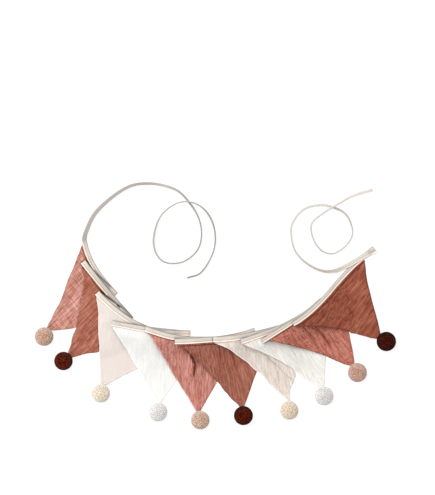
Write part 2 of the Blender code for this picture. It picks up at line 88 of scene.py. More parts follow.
def placed_mesh(name, mesh):
    """A new object in the scene, with an edited mesh, which is freed."""
    data = bpy.data.meshes.new(name)
    mesh.to_mesh(data)
    mesh.free()
    return placed(name, data)


def new_paint(name):
    """A new material, with its node tree and its shader."""
    paint = bpy.data.materials.new(name)
    paint.use_nodes = True
    return paint, paint.node_tree, paint.node_tree.nodes["Principled BSDF"]


def feed(tree, node, inputs):
    """Sets a node's inputs to values, or links them to the outputs of other nodes."""
    for socket, value in inputs.items():
        if isinstance(value, bpy.types.NodeSocket):
            tree.links.new(value, node.inputs[socket])
        else:
            node.inputs[socket].default_value = value


mesh = bmesh.new()
bmesh.ops.create_grid(mesh, x_segments=1, y_segments=1, size=TABLE_SIZE / 2)
table = placed_mesh("table", mesh)
table.location.z = TABLE_TOP
paint, tree, shader = new_paint("white table")
feed(tree, shader, {"Base Color": TABLE_GREY, "Roughness": 0.8, "Emission Color": WHITE,
                    "Emission Strength": TABLE_GLOW})
table.data.materials.append(paint)

room = bpy.data.worlds.new("room")
bpy.context.scene.world = room
room.use_nodes = True
feed(room.node_tree, room.node_tree.nodes["Background"],
     {"Color": WHITE, "Strength": ROOM_STRENGTH})

lamp = placed("lamp", bpy.data.lights.new("lamp", "AREA"))
lamp.data.size = LAMP_SIZE
lamp.data.energy = LAMP_WATTS
lamp.location = LAMP_PLACE
lamp.rotation_mode = "QUATERNION"
lamp.rotation_quaternion = (-Vector(LAMP_PLACE)).to_track_quat("-Z", "Y")


# The flags. Each is one triangle of crinkled double muslin, cut 202 mm wide and about 150 mm
# tall, with its two sides turned in and its top edge caught in the tape. The last corner of
# each but the last flag is folded over. The sheet follows the middle of its solid.
SOLID_THICKNESS = 0.0010
WELD = 0.00002  # joins up the solid's loose triangles
RIM_ANGLE = math.radians(65)  # sharper edges bound a solid's faces
CORNER_ANGLE = math.radians(150)  # the cloth has a corner where its edge turns more sharply
MESH_EDGE = 0.00215
SOFTENING = 26  # rounds of smoothing over the solid's flat facets
MUSLIN = 0.00045  # thickness of the cloth
HEM = 0.00095  # thickness at the turned-in sides
HEM_WIDTH = 0.0048
SEAM_WIDTH, SEAM_DEPTH, SEAM_SHADE = 0.0007, 0.00008, 0.05
HEM_FLAT = 0.7  # share of a hem that is at full thickness
IN_TAPE = 0.010  # how much of the flag the tape holds
FREE_BAND = 0.006  # below the tape, over which the crinkles begin

# Per flag: the cloth's colour; the way its crinkles run in plan, in degrees, how strong they
# are, how far apart, in mm, and how strong a second set is that crosses them; how far its left
# side waves, in mm; and how much painted highlight (over 0) or painted shade (under 0) its left
# and right edges take.
Cloth = namedtuple("Cloth", "red green blue way strength spacing cross waves left_rim right_rim")
CLOTHS = [Cloth(*row) for row in (
    (0.625, 0.352, 0.294, 46, 1.30, 5.2, 0.80, 0.5, -0.50, -0.40),
    (0.437, 0.190, 0.134, 47, 1.30, 5.4, 0.35, 0.9, -0.15, -0.60),
    (0.649, 0.597, 0.560, 80, 0.09, 7.0, 0.30, 0.3, 0.90, -0.40),
    (0.725, 0.725, 0.708, 88, 0.16, 8.0, 0.00, 0.4, 0.90, -0.20),
    (0.553, 0.271, 0.227, 91, 1.15, 5.0, 0.00, 0.4, 0.80, -0.60),
    (0.376, 0.167, 0.120, 102, 1.15, 5.0, 0.10, 0.9, -0.60, -0.80),
    (0.695, 0.634, 0.580, 105, 0.50, 5.0, 0.00, 0.4, 0.95, 0.00),
    (0.735, 0.722, 0.692, 124, 0.36, 7.0, 0.15, 0.4, 0.90, -0.30),
    (0.565, 0.250, 0.192, 124, 1.35, 5.4, 0.50, 0.6, -0.70, -0.60),
    (0.366, 0.138, 0.087, 52, 1.40, 5.2, 0.15, 1.3, -0.50, -1.00),
)]

# The crinkles are long puffs side by side with narrow troughs between them, in two sets that
# cross, each coarse and fine. PUFF_LENGTH and the fine puffs' sizes count in a set's spacing.
CRINKLE_HEIGHT = 0.0011
FLAT_LEVEL = 0.35  # the crinkle that leaves the cloth where it is
HEM_CRINKLES = 0.45  # share of their height left at a side's edge
CROSS_TURN, CROSS_SPACING = 82, 1.2  # from the first set to the second, in degrees and times
BILLOW = 1.9  # brings most tops of the noise to 1
PUFF_LENGTH = 8
FINE_SPACING, FINE_LENGTH, FINE_SHARE = 0.5, 3, 0.28
SWAY, SWAY_LENGTH = 0.004, 0.05
PATCH_SIZE, PATCH_MEAN, PATCH_SWING = 0.035, 0.8, 0.5  # some parts crinkle more than others
FLAG_SEED, FINE_SEED, CROSS_SEED, PATCH_SEED = 3.7, 7, 20, 13

# The waves of a flag's left side reach this deep into it.
WAVE_DEPTH, WAVE_LENGTH, WAVE_GAIN, WAVE_SEED = 0.014, 0.013, 2, 0.02

# Where each flag's last corner ends, inside its pompom, in mm.
TIPS = (
    (-356, -50), (-314, -112), (-241, -173), (-119, -210), (-36, -229),
    (58, -221), (157, -205), (229, -177), (294, -131), (352, -72),
)

# Small turns of the laid-out cloth: what lies at a place of the plan is moved by so much, and its
# surroundings less and less out to the reach, all in mm.
Nudge = namedtuple("Nudge", "flag x y move_x move_y reach")
NUDGES = [Nudge(*row) for row in (
    (1, -328, 10, 3.1, -0.8, 60), (1, -310, -44, 0, -2, 30), (1, -339, -51, 0, -3, 35),
    (2, -244, -95, 7, -3.5, 32), (2, -295, -66, -2.2, 0, 32), (2, -281, 58, 5, 0, 36),
    (2, -284, 12, 3, 0, 40), (2, -300, -93, -1.2, -1.2, 30), (3, -249, -9, 3.2, 0, 60),
    (3, -244, -80, 1.6, 0, 40), (3, -162, -132, 5, -2, 40), (3, -195, -149, 0.5, -1.2, 45),
    (5, -116, -93, 3.2, 1, 60), (5, -60, -187, 1.0, 0, 50), (5, -139, -61, 4, 0, 30),
    (6, -54, -105, 6, 0, 45), (6, -71, -93, 7, 0, 30), (6, 21, -183, -2.4, -2.2, 45),
    (6, 73, -174, 1.1, 0, 45), (6, 85, -135, 0.5, -3.0, 25), (7, 27, -93, 1.7, 2.1, 45),
    (7, 85, -131, -0.8, -2.5, 22), (7, 15, -87, 0.8, 2.0, 35), (7, 119, -170, -3.8, -3.8, 50),
    (7, 163, -178, -5.4, 0, 30), (7, 162, -152, 4.3, 0, 14), (7, 164, -135, 12.5, -7, 20),
    (8, 190, -155, -3.0, -4.6, 48), (9, 112, -76, 3, 4, 30), (9, 138, -82, 1, 2.6, 40),
    (9, 258, -118, -0.6, -2.6, 45), (9, 289, -100, 1.5, 0, 40), (10, 308, -61, 0, -3.4, 48),
    (10, 292, -54, 0, -1.4, 35), (10, 312, 96, -0.6, -2.0, 22), (10, 345, -30, 1.5, 0, 40),
    (10, 321, 65, -2, 0, 45), (10, 324, 37, -1.3, 0, 50),
)]
TIP_REACH = 0.150  # how far back from its corner a flag follows the pull

# The main creases, drawn as sunk troughs with painted shade between two points of the plan, in mm.
Crease = namedtuple("Crease", "flag from_x from_y to_x to_y depth half_width")
CREASES = [Crease(*row) for row in (
    (1, -345, -50, -319, -25, 0.9, 2.2), (1, -323, -8, -297, -33, 0.6, 1.8),
    (1, -322, -13, -305, 4, 0.6, 1.8), (1, -270, 95, -253, 73, 2.0, 2.0),
    (2, -293, -92, -270, -70, 0.8, 2.0), (2, -241, 34, -220, 17, 2.5, 2.2),
    (2, -285, -57, -263, -38, 0.8, 2.0), (2, -262, -85, -242, -62, 0.6, 1.8),
    (3, -238, 5, -232, -60, 0.25, 4.0), (4, -120, -72, -116, -118, 0.7, 3.0),
    (5, -65, -89, -50, -101, 1.4, 2.4), (5, -52, -99, -41, -122, 2.6, 3.2),
    (5, -41, -119, -46, -150, 2.2, 2.6), (5, -88, -66, -86, -104, 0.5, 2.0),
    (5, -30, -126, -28, -176, 0.5, 2.2), (6, 8, -70, 12, -125, 0.8, 2.2),
    (6, 28, -78, 52, -150, 0.8, 2.2), (7, 107, -98, 114, -128, 0.5, 2.4),
    (7, 130, -130, 136, -158, 0.8, 2.0), (8, 163, -88, 172, -112, 0.8, 2.0),
    (8, 186, -92, 200, -118, 0.7, 2.0), (8, 99, -79, 117, -70, 1.5, 1.4),
    (9, 186, -44, 208, -72, 1.0, 4.0), (9, 222, -54, 246, -94, 0.9, 3.6),
    (9, 200, -38, 232, -66, 0.9, 4.0), (10, 210, -38, 250, 6, 0.7, 2.0),
    (10, 258, -44, 300, 14, 0.7, 2.2),
)]
CREASE_FADE, CREASE_END = 3.0, 0.15  # how soon a crease deepens from its end, and how it starts
CREASE_SHARE = 0.5  # how much of its depth the cloth sinks, the rest being painted shade

# The painted shades in the cloth's colour, from 0 for the deepest crease to 1 for a lit edge.
TROUGH_SHADE, PUFF_SHADE = 0.3, 0.75
PLAIN_SHADE = 0.5  # inside the tape
CREASE_SHADE = 260  # per metre of a main crease's depth
# How wide the painted highlight or shade along an edge is, and how strong a dark one is.
RIM_WIDTH, DARK_RIM = 0.0022, 0.8
TAPE_SHADE, TAPE_SHADE_OFF, TAPE_SHADE_WIDTH = 0.5, 0.0009, 0.0014  # painted shadow just below the tape
RIM_PALE = (0.95, 0.90, 0.86)  # what a painted highlight on an edge bleaches towards

# The fine creases are painted shade only: dark lines, a little painted highlight between them.
CREASE_LENGTH, CREASE_GAP = 0.050, 0.0033
LINE_DEPTH, CROSS_LINE_DEPTH, LINE_WIDTH, LINE_GLOW = 0.30, 0.26, 0.11, 0.22
WARM_SHADE = (0.85, 1.35, 1.5)  # how much faster green and blue darken in a crease than red
GAP_REACH = 0.007  # painted shade darkens layers closer than this to each other
GAP_OPEN = (0.30, 0.80)  # share of open sky where a place is at its darkest, and undarkened
GAP_DARK, GAP_PALE = 0.12, 0.9  # light that painted gap shade leaves in strongly crinkled, and other cloth


def merged_solid(node):
    """A node's mesh with its loose triangles joined up."""
    joined = bmesh.new()
    joined.from_mesh(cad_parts[node].data)
    bmesh.ops.remove_doubles(joined, verts=joined.verts, dist=WELD)
    return joined


def islands(mesh):
    """The groups of faces that edges join, the largest first."""
    left = set(mesh.faces)
    groups = []
    while left:
        group = [left.pop()]
        for face in group:
            for edge in face.edges:
                for other in edge.link_faces:
                    if other in left:
                        left.remove(other)
                        group.append(other)
        groups.append(group)
    return sorted(groups, key=lambda group: -sum(face.calc_area() for face in group))


def middle_of(node):
    """The middle of a solid's box."""
    low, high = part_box(node)
    return (low + high) / 2


def middle_of_flag(node, tip):
    """The sheet halfway through a flag's solid, and points along its top edge and its sides."""
    mesh = merged_solid(node)
    rims = [edge for edge in mesh.edges if edge.calc_face_angle() > RIM_ANGLE]
    bmesh.ops.split_edges(mesh, edges=rims)
    upper, lower, *strips = islands(mesh)
    if sum(face.normal.z * face.calc_area() for face in upper) < 0:
        upper = lower
    strips = [[edge for face in strip for edge in face.edges] for strip in strips[:3]]
    strips.sort(key=lambda edges: np.mean([tape_tree.find(e.verts[0].co)[2] for e in edges]))
    top_line, *sides = [points_on(edges) for edges in strips]
    top_middle = np.mean(top_line, axis=0)
    keep = set(upper)
    bmesh.ops.delete(mesh, geom=[f for f in mesh.faces if f not in keep], context="FACES")
    mesh.normal_update()
    for vert in mesh.verts:
        vert.co -= vert.normal * SOLID_THICKNESS / 2
    down = np.array(tip) - top_middle
    sides.sort(key=lambda side: np.cross(down[:2], (np.mean(side, axis=0) - top_middle)[:2]))
    return mesh, top_line, sides


def outward_of(side, other):
    """The way in plan that a flag's side looks, square to it and away from its other side."""
    ends = sorted(side, key=lambda point: point.y)
    square = (ends[-1] - ends[0]).xy.orthogonal().normalized()
    away = Vector(np.mean(side, axis=0) - np.mean(other, axis=0)).xy
    return square if square.dot(away) > 0 else -square


def points_on(edges, step=0.001):
    """Points along edges, at most a step apart."""
    points = []
    for edge in edges:
        start, end = (vert.co for vert in edge.verts)
        count = max(1, round(edge.calc_length() / step))
        points += [start.lerp(end, i / count) for i in range(count + 1)]
    return points


def tree_of(points):
    """A tree that finds the nearest of the points."""
    tree = kdtree.KDTree(len(points))
    for index, point in enumerate(points):
        tree.insert(point, index)
    tree.balance()
    return tree


def trees_by_layer(points, mesh):
    """Search trees of a side's points, apart for the upper layer and for what is folded under."""
    rim = [vert for vert in mesh.verts if vert.is_boundary]
    rim_tree = tree_of([vert.co for vert in rim])
    layers = {True: [], False: []}
    for point in points:
        layers[rim[rim_tree.find(point)[1]].normal.z > 0].append(point)
    far_away = [Vector((9.0, 9.0, 9.0))]
    return {upper: tree_of(layer or far_away) for upper, layer in layers.items()}


def refined(mesh, longest):
    """The mesh again, with its edges cut in half until none is longer than that."""
    places = [vert.co.copy() for vert in mesh.verts]
    mesh.verts.index_update()
    triangles = [tuple(vert.index for vert in face.verts) for face in mesh.faces]
    while True:
        middles = {}
        for corners in triangles:
            for pair in zip(corners, corners[1:] + corners[:1]):
                first, last = sorted(pair)
                if (first, last) in middles or (places[first] - places[last]).length <= longest:
                    continue
                middles[first, last] = len(places)
                places.append((places[first] + places[last]) / 2)
        if not middles:
            break
        triangles = [small for corners in triangles for small in halves(corners, middles, places)]
    finer = bmesh.new()
    verts = [finer.verts.new(place) for place in places]
    for corners in triangles:
        finer.faces.new([verts[index] for index in corners])
    mesh.free()
    return finer


def halves(corners, middles, places):
    """A triangle cut at the middles of its long sides, the longest first."""
    turns = [corners[k:] + corners[:k] for k in range(3)]
    cut = [turn for turn in turns if tuple(sorted(turn[:2])) in middles]
    if not cut:
        return [corners]
    first, last, top = max(cut, key=lambda turn: (places[turn[0]] - places[turn[1]]).length)
    middle = middles[tuple(sorted((first, last)))]
    return (halves((first, middle, top), middles, places)
            + halves((middle, last, top), middles, places))


def soften(mesh, rounds):
    """Smooths a sheet over its facets. Its edges only move along themselves."""
    mesh.verts.index_update()
    places = np.array([vert.co for vert in mesh.verts])
    rim = np.array([vert.is_boundary for vert in mesh.verts])
    pairs = np.array([[v.index for v in edge.verts] for edge in mesh.edges
                      if edge.is_boundary or not all(v.is_boundary for v in edge.verts)])
    pairs = np.vstack((pairs, pairs[:, ::-1]))
    pairs = pairs[~(rim[pairs[:, 0]] & ~rim[pairs[:, 1]])]
    count = np.bincount(pairs[:, 0], minlength=len(places))[:, None]
    for _ in range(rounds):
        total = np.zeros_like(places)
        np.add.at(total, pairs[:, 0], places[pairs[:, 1]])
        places = 0.5 * places + 0.5 * total / np.maximum(count, 1)
    for vert, place in zip(mesh.verts, places):
        if not (vert.is_boundary and is_corner(vert)):
            vert.co = place


def is_corner(vert):
    """Where two edges of the cloth meet at an angle."""
    first, last = (e.other_vert(vert).co - vert.co for e in vert.link_edges if e.is_boundary)
    return first.angle(last) < CORNER_ANGLE


def uneven(x, y, seed):
    """Smooth noise about 0."""
    return noise.noise(Vector((x, y, seed)))


def billow(x, y, seed):
    """Rounded puffs with narrow troughs between them, from 0 to about 1."""
    return min(1.0, BILLOW * abs(uneven(x, y, seed)))


def puffs(place, way, spacing, seed):
    """Long puffs side by side that run one way, with narrow troughs between them."""
    way = math.radians(way)
    along = place.x * math.cos(way) + place.y * math.sin(way)
    across = place.x * math.sin(way) - place.y * math.cos(way)
    across += SWAY * uneven(along / SWAY_LENGTH, across / SWAY_LENGTH, seed)
    coarse = billow(across / spacing, along / (PUFF_LENGTH * spacing), seed)
    fine = billow(across / (FINE_SPACING * spacing), along / (FINE_LENGTH * spacing),
                  seed + FINE_SEED)
    return (1 - FINE_SHARE) * coarse + FINE_SHARE * fine


def crinkle(place, cloth, seed):
    """Height of the muslin's crinkles, from 0 in a trough to about 1 on a puff."""
    spacing = cloth.spacing / 1000
    height = puffs(place, cloth.way, spacing, seed)
    crossing = puffs(place, cloth.way + CROSS_TURN, CROSS_SPACING * spacing, seed + CROSS_SEED)
    patch = uneven(place.x / PATCH_SIZE, place.y / PATCH_SIZE, seed + PATCH_SEED)
    height = (height + cloth.cross * crossing) / (1 + cloth.cross)
    return (PATCH_MEAN + PATCH_SWING * patch) * height


def beside(place, line):
    """Where a place of the plan lies along a line, from 0 to 1, and how near, 1 on the line."""
    start = Vector((line.from_x, line.from_y)) / 1000
    way = Vector((line.to_x, line.to_y)) / 1000 - start
    share = min(1.0, max(0.0, (place.xy - start).dot(way) / way.length_squared))
    off = (place.xy - start - share * way).length / (line.half_width / 1000)
    return share, math.exp(-off * off)


def trough(place, crease):
    """Depth of a main crease at a place: full along its line, fading at its ends."""
    share, near = beside(place, crease)
    fade = min(1.0, CREASE_FADE * min(share, 1 - share) + CREASE_END)
    return crease.depth / 1000 * fade * near


def smooth_step(value, low, high):
    """From 0 up to the low value to 1 from the high value on, with a soft start and end."""
    share = min(1.0, max(0.0, (value - low) / (high - low)))
    return share * share * (3 - 2 * share)


def crumple(mesh, number, cloth, top_tree, side_trees, outward):
    """Gives a sheet its crinkles, creases and waves, and marks its painted shade and its hems."""
    creases = [crease for crease in CREASES if crease.flag == number]
    painted_shade = mesh.verts.layers.float.new("crinkle")
    hems = mesh.verts.layers.deform.new()
    moves = []
    for vert in mesh.verts:
        upward = vert.normal.z > 0
        from_top = top_tree.find(vert.co)[2]
        from_left, from_right = (side[upward].find(vert.co)[2] for side in side_trees)
        from_side = min(from_left, from_right)
        free = smooth_step(from_top, IN_TAPE, IN_TAPE + FREE_BAND)
        inside = smooth_step(from_side, 0.0, HEM_WIDTH)
        height = crinkle(vert.co, cloth, FLAG_SEED * number)
        seam = math.exp(-((from_side - HEM_WIDTH) / SEAM_WIDTH)**2)
        deep = sum(trough(vert.co, crease) for crease in creases) if upward else 0.0
        raised = CRINKLE_HEIGHT * cloth.strength * (height - FLAT_LEVEL)
        raised *= HEM_CRINKLES + (1 - HEM_CRINKLES) * inside
        wave = noise.noise(Vector((*vert.co.xy, WAVE_SEED * number)) / WAVE_LENGTH)
        wave *= WAVE_GAIN * cloth.waves / 1000 * (1 - smooth_step(from_left, 0.0, WAVE_DEPTH))
        moves.append(vert.normal * free * (raised - SEAM_DEPTH * seam - CREASE_SHARE * deep)
                     + outward * free * wave)
        # Painted shade: dark in troughs, seams, creases and below the tape; lit or shaded edges.
        shade = TROUGH_SHADE + (PUFF_SHADE - TROUGH_SHADE) * height - SEAM_SHADE * seam
        for rim, distance in ((cloth.left_rim, from_left), (cloth.right_rim, from_right)):
            near = math.exp(-(distance / RIM_WIDTH)**2)
            shade += near * rim * (1 - shade if rim > 0 else DARK_RIM * shade)
        near_tape = math.exp(-((from_top - IN_TAPE - TAPE_SHADE_OFF) / TAPE_SHADE_WIDTH)**2)
        vert[painted_shade] = (PLAIN_SHADE * (1 - free) + free * shade - CREASE_SHADE * deep
                        - TAPE_SHADE * min(1.0, cloth.strength) * near_tape)
        vert[hems][0] = (1 - smooth_step(from_side, HEM_FLAT * HEM_WIDTH, HEM_WIDTH)) * free
    for vert, move in zip(mesh.verts, moves):
        vert.co += move


def pull_tip(mesh, wanted, pompom_middle):
    """Draws a flag's last corner out to where it is sewn inside its pompom."""
    tip = min(mesh.verts, key=lambda vert: (vert.co - pompom_middle).length).co.copy()
    wanted.z = tip.z
    for vert in mesh.verts:
        share = max(0.0, 1 - (vert.co - tip).length / TIP_REACH)
        vert.co += (wanted - tip) * share


def nudged(place, turns):
    """Where the small turns take a place, one after the other."""
    for turn in turns:
        off = (place.xy - Vector((turn.x, turn.y)) / 1000).length / (turn.reach / 1000)
        move = Vector((turn.move_x, turn.move_y, 0.0)) / 1000
        place = place + move * (1 - smooth_step(off, 0.0, 1.0))
    return place


def applied(thing, modifier):
    """The plain mesh that a modifier makes of an object. The modifier is removed."""
    bpy.context.view_layer.update()
    evaluated = thing.evaluated_get(bpy.context.evaluated_depsgraph_get())
    data = bpy.data.meshes.new_from_object(evaluated)
    thing.modifiers.remove(modifier)
    return data


def thicken(sheet):
    """Gives a sheet the thickness of the cloth, and of the folded cloth at its hems."""
    sheet.vertex_groups.new(name="hem")
    shell = sheet.modifiers.new("thickness", "SOLIDIFY")
    shell.thickness = HEM
    shell.offset = 0.0
    shell.vertex_group = "hem"
    shell.thickness_vertex_group = MUSLIN / HEM
    sheet.data = applied(sheet, shell)


def add_node(tree, kind, inputs=None, **settings):
    """Adds a node with its settings, and its inputs set or linked, and returns its outputs."""
    node = tree.nodes.new(kind)
    for setting, value in settings.items():
        setattr(node, setting, value)
    feed(tree, node, inputs or {})
    return node.outputs


def maths(tree, operation, *values):
    """What an operation makes of numbers and of other nodes' outputs."""
    return add_node(tree, "ShaderNodeMath", dict(enumerate(values)), operation=operation)["Value"]


def rescaled(tree, value, old_range, new_range):
    """A value taken from one range to another, and kept within it."""
    return add_node(tree, "ShaderNodeMapRange", {
        "Value": value, "From Min": old_range[0], "From Max": old_range[1],
        "To Min": new_range[0], "To Max": new_range[1]})["Result"]


def mixed(tree, first, second, share=1.0, way="MULTIPLY"):
    """One colour multiplied by another, or mixed with it another way, in full or in part."""
    return add_node(tree, "ShaderNodeMix", {"Factor": share, "A": first, "B": second},
                    data_type="RGBA", blend_type=way)["Result"]


def kept(tree, name):
    """The number that a piece's mesh keeps under a name."""
    return add_node(tree, "ShaderNodeAttribute", attribute_name=name)["Fac"]


def ramp(tree, value, stops):
    """The colour at a value, blended between stops, each a position and a colour."""
    node = tree.nodes.new("ShaderNodeValToRGB")
    feed(tree, node, {"Fac": value})
    marks = node.color_ramp.elements
    for mark, (position, colour) in zip(marks, (stops[0], stops[-1])):
        mark.position = position
        mark.color = (*colour, 1.0)
    for position, colour in stops[1:-1]:
        marks.new(position).color = (*colour, 1.0)
    return node.outputs["Color"]


def turned(tree, place, kind="POINT", **inputs):
    """A place in a pattern that is turned or scaled."""
    return add_node(tree, "ShaderNodeMapping", {"Vector": place, **inputs},
                    vector_type=kind)["Vector"]


def relief(tree, height, strength, depth):
    """The surface's direction over the fine bumps that a height makes."""
    return add_node(tree, "ShaderNodeBump", {
        "Height": height, "Strength": strength, "Distance": depth})["Normal"]


def with_gap_shade(tree, colour, darkest):
    """The colour with painted shade where another layer lies close over it."""
    open_sky = add_node(tree, "ShaderNodeAmbientOcclusion", {"Distance": GAP_REACH}, samples=8)
    return mixed(tree, colour, rescaled(tree, open_sky["AO"], GAP_OPEN, (darkest, 1.0)))


def fine_creases(tree, place, way, amount):
    """Painted shade in thin lines that run one way: 1 - amount in a line, a little over 1 between.
    """
    stretched = turned(tree, place, "TEXTURE", Rotation=(0.0, 0.0, math.radians(way)),
                       Scale=(CREASE_LENGTH, CREASE_GAP, CREASE_GAP))
    lines = add_node(tree, "ShaderNodeTexNoise", {
        "Vector": stretched, "Scale": 1.0, "Detail": 1.0, "Distortion": 0.25})
    depth = maths(tree, "ABSOLUTE", maths(tree, "SUBTRACT", lines["Fac"], 0.5))
    return rescaled(tree, depth, (0.0, LINE_WIDTH), (1.0 - amount, 1.0 + LINE_GLOW * amount))


def muslin(name, cloth):
    """Crinkled double gauze: painted shade in its troughs, a loose weave, a soft sheen."""
    paint, tree, shader = new_paint(name)
    colour = (cloth.red, cloth.green, cloth.blue)
    deeper = [(c / cloth.red)**0.4 for c in colour]
    trough_share = 1 - 0.24 * cloth.strength
    shade = ramp(tree, kept(tree, "crinkle"), (
        (0.0, [0.18 * c * d**1.5 for c, d in zip(colour, deeper)]),
        (TROUGH_SHADE, [trough_share * c * d for c, d in zip(colour, deeper)]),
        (PUFF_SHADE, [min(1.0, 1.06 * c) for c in colour]),
        (1.0, [0.5 * c + 0.5 * pale for c, pale in zip(colour, RIM_PALE)])))
    place = add_node(tree, "ShaderNodeTexCoord")["Object"]
    lines = maths(tree, "MULTIPLY",
                  fine_creases(tree, place, cloth.way, LINE_DEPTH * cloth.strength),
                  fine_creases(tree, place, cloth.way + CROSS_TURN,
                               CROSS_LINE_DEPTH * cloth.strength * cloth.cross))
    warm = add_node(tree, "ShaderNodeCombineColor", {
        channel: maths(tree, "POWER", lines, power)
        for channel, power in zip(("Red", "Green", "Blue"), WARM_SHADE)})
    along = turned(tree, place, Rotation=(0.0, 0.0, -math.radians(cloth.way)))
    threads = [add_node(tree, "ShaderNodeTexWave", {
        "Vector": along, "Scale": 420.0, "Distortion": 3.0, "Detail": 1.0, "Detail Scale": 0.6},
        bands_direction=axis)["Fac"] for axis in ("X", "Y")]
    height = maths(tree, "MULTIPLY_ADD", lines, 4.0, maths(tree, "ADD", *threads))
    shaded_cloth = mixed(tree, shade, warm["Color"])
    feed(tree, shader, {
        "Base Color": with_gap_shade(tree, shaded_cloth, GAP_DARK if cloth.strength > 1 else GAP_PALE),
        "Normal": relief(tree, height, 0.35, 0.00012),
        "Roughness": 0.92, "Specular IOR Level": 0.15,
        "Sheen Weight": 0.10, "Sheen Roughness": 0.5, "Sheen Tint": (*colour, 1.0)})
    return paint


tape_solid = merged_solid("binding_tape")
tape_tree = tree_of([vert.co for vert in tape_solid.verts])
top_trees = []
for number, cloth in enumerate(CLOTHS, 1):
    node = f"flag_{number:02d}"
    pompom_middle = middle_of(f"pompom_{number:02d}")
    mesh, top_line, sides = middle_of_flag(node, pompom_middle)
    cut_area = sum(face.calc_area() for face in mesh.faces)
    mesh = refined(mesh, MESH_EDGE)
    soften(mesh, SOFTENING)
    mesh.normal_update()
    top_trees.append(tree_of(top_line))
    side_trees = [trees_by_layer(side, mesh) for side in sides]
    crumple(mesh, number, cloth, top_trees[-1], side_trees, outward_of(*sides).to_3d())
    pull_tip(mesh, Vector(TIPS[number - 1]).to_3d() / 1000, pompom_middle)
    turns = [turn for turn in NUDGES if turn.flag == number]
    for vert in mesh.verts:
        vert.co = nudged(vert.co, turns)
        vert.co.z = max(vert.co.z, MUSLIN)
    sheet = placed_mesh(f"muslin_{node}", mesh)
    thicken(sheet)
    sheet.data.shade_smooth()
    sheet.data.materials.append(muslin(f"muslin of flag {number}", cloth))
    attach(sheet, "root")
    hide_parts(node)


# The binding tape with its two ties: one strip of cotton bias tape, folded lengthwise to 12 mm.
# The flags' top edges lie between its leaves, and past them the same strip runs on as the ties.
# Its route and the turn of its sections are read off the eight long edges of its solid.
LEFT_TIE_END = Vector((-0.0589, 0.0591))
TAPE_HALF_WIDTH = 0.006
TAPE_STEP = 0.0034
TIE_HALF, BINDING_HALF = 0.00065, 0.00125  # half the thickness of the ties and of the binding
EDGE_PUFF = 0.00045  # how much fuller each side is where a tie stands on its edge
UPRIGHT, LYING = 0.15, 0.6  # how far up a leaf looks where the tape stands, and where it lies
RIPPLE, RIPPLE_LENGTH, RIPPLE_TURN, RIPPLE_SEED = 0.00010, 0.012, 0.4, 5.0
SIDE_SWAY, SIDE_SWAY_LENGTH, SIDE_SWAY_SEED = 0.00022, 0.03, 9.0
STATIONS_BLENDED = 9  # over which one run's values pass into the next run's

# Per flag, of the tape along it: how much painted light (over 1) or shade (under 1) it takes at
# its start and at its end, and in mm, how much narrower the fold's side looks, as it stands up
# round, and how far it lies off its solid.
RUNS = (
    (1.00, 0.75, 1.3, -1.0, -0.6), (1.08, 0.55, 0, 0, 0), (1.12, 0.90, 0, 0, 0),
    (1.00, 1.00, 0, 0, 0), (1.05, 0.95, 0, 0, -1.8), (1.03, 1.03, 0, 0.4, 0.8),
    (1.05, 1.02, 0, 0.9, 1.8), (1.00, 1.00, 1.2, 0, 0), (0.98, 0.98, 2.6, 0.4, -0.9),
    (0.98, 0.98, 2.0, -0.5, 0.6),
)
RUN_HALF = 0.095  # from a run's middle to where those two tones hold, in m
FROM_FREE_END = 0.64  # how far along the left tie its paler, free part reaches, in m
PALE_TIE, DARK_TIE = 1.00, 0.68  # the left tie's tones there, and from there to the first flag
RIGHT_TIE_TONE = 1.35
TONE_BLEND, FREE_BLEND = 0.03, 0.04  # over which the ties' tones pass into the next ones
TIE_NUDGES = [Nudge(*row) for row in (
    (0, -277, 140, 0.8, 0.3, 60), (0, -262, 197, 0.6, 1.0, 70),
    (0, -210, 237, 1.0, 1.8, 60), (0, -74, 160, 1.0, 0.8, 330),
    (0, -71, 233, 1.3, 1.0, 40), (0, 340, 115, 0.9, -0.2, 30),
    (0, -60, -53, 0, -1.0, 35), (0, -120, -45, 0, 0.8, 30),
)]
FLARE_PLACE = Vector((0.340, 0.115))  # where the last run's end lies wider
FLARE, FLARE_REACH = 3.3, 0.020  # by how much, in mm, and how far round it, in m
FLARED_RUN = 9  # the last, counted from 0
FLARE_OPEN_SIDE = 1.1  # how much more the side of the free edges flares

# Painted shadows in lines across a flag's run of tape, between two points of the plan, in mm.
Shade = namedtuple("Shade", "run from_x from_y to_x to_y depth half_width")
SHADES = [Shade(*row) for row in (
    (1, -254, 73, -222, 40, 0.55, 3.0),
    (2, -226, 20, -201, -2, 0.95, 2.0),
    (3, -166, -28, -148, -41, 0.60, 1.3),
    (5, -83, -67, -77, -70, 0.60, 1.2),
    (5, -77, -70, -68, -71, 0.60, 1.2),
    (10, 326, 113, 338, 118, 0.35, 6.0),
)]

# Half of the section, from one leaf's free edge over its outer face to the fold, and back
# inside: how far across the tape, in mm, and how far over the leaf's flat outer face.
OUTER = (
    (6.00, -0.22), (5.86, -0.03), (5.40, 0.10), (4.60, 0.15),
    (3.60, 0.11), (2.75, -0.01), (2.25, -0.12), (1.75, -0.01),
    (0.80, 0.06), (-1.50, 0.08), (-3.80, 0.03), (-5.00, -0.08),
    (-5.72, -0.32),
)
FOLD_OUTSIDE = -6.03
INNER = ((5.88, -0.42), (2.25, -0.38), (-2.00, -0.36), (-5.00, -0.38))
FOLD_INSIDE = -5.50

TAPE_EDGE_SHADE = (0.32, 0.29, 0.26)  # painted shade along the fold, and at the free edges
TAPE_BAND = (0.57, 0.515, 0.46)  # between the stitching and the fold
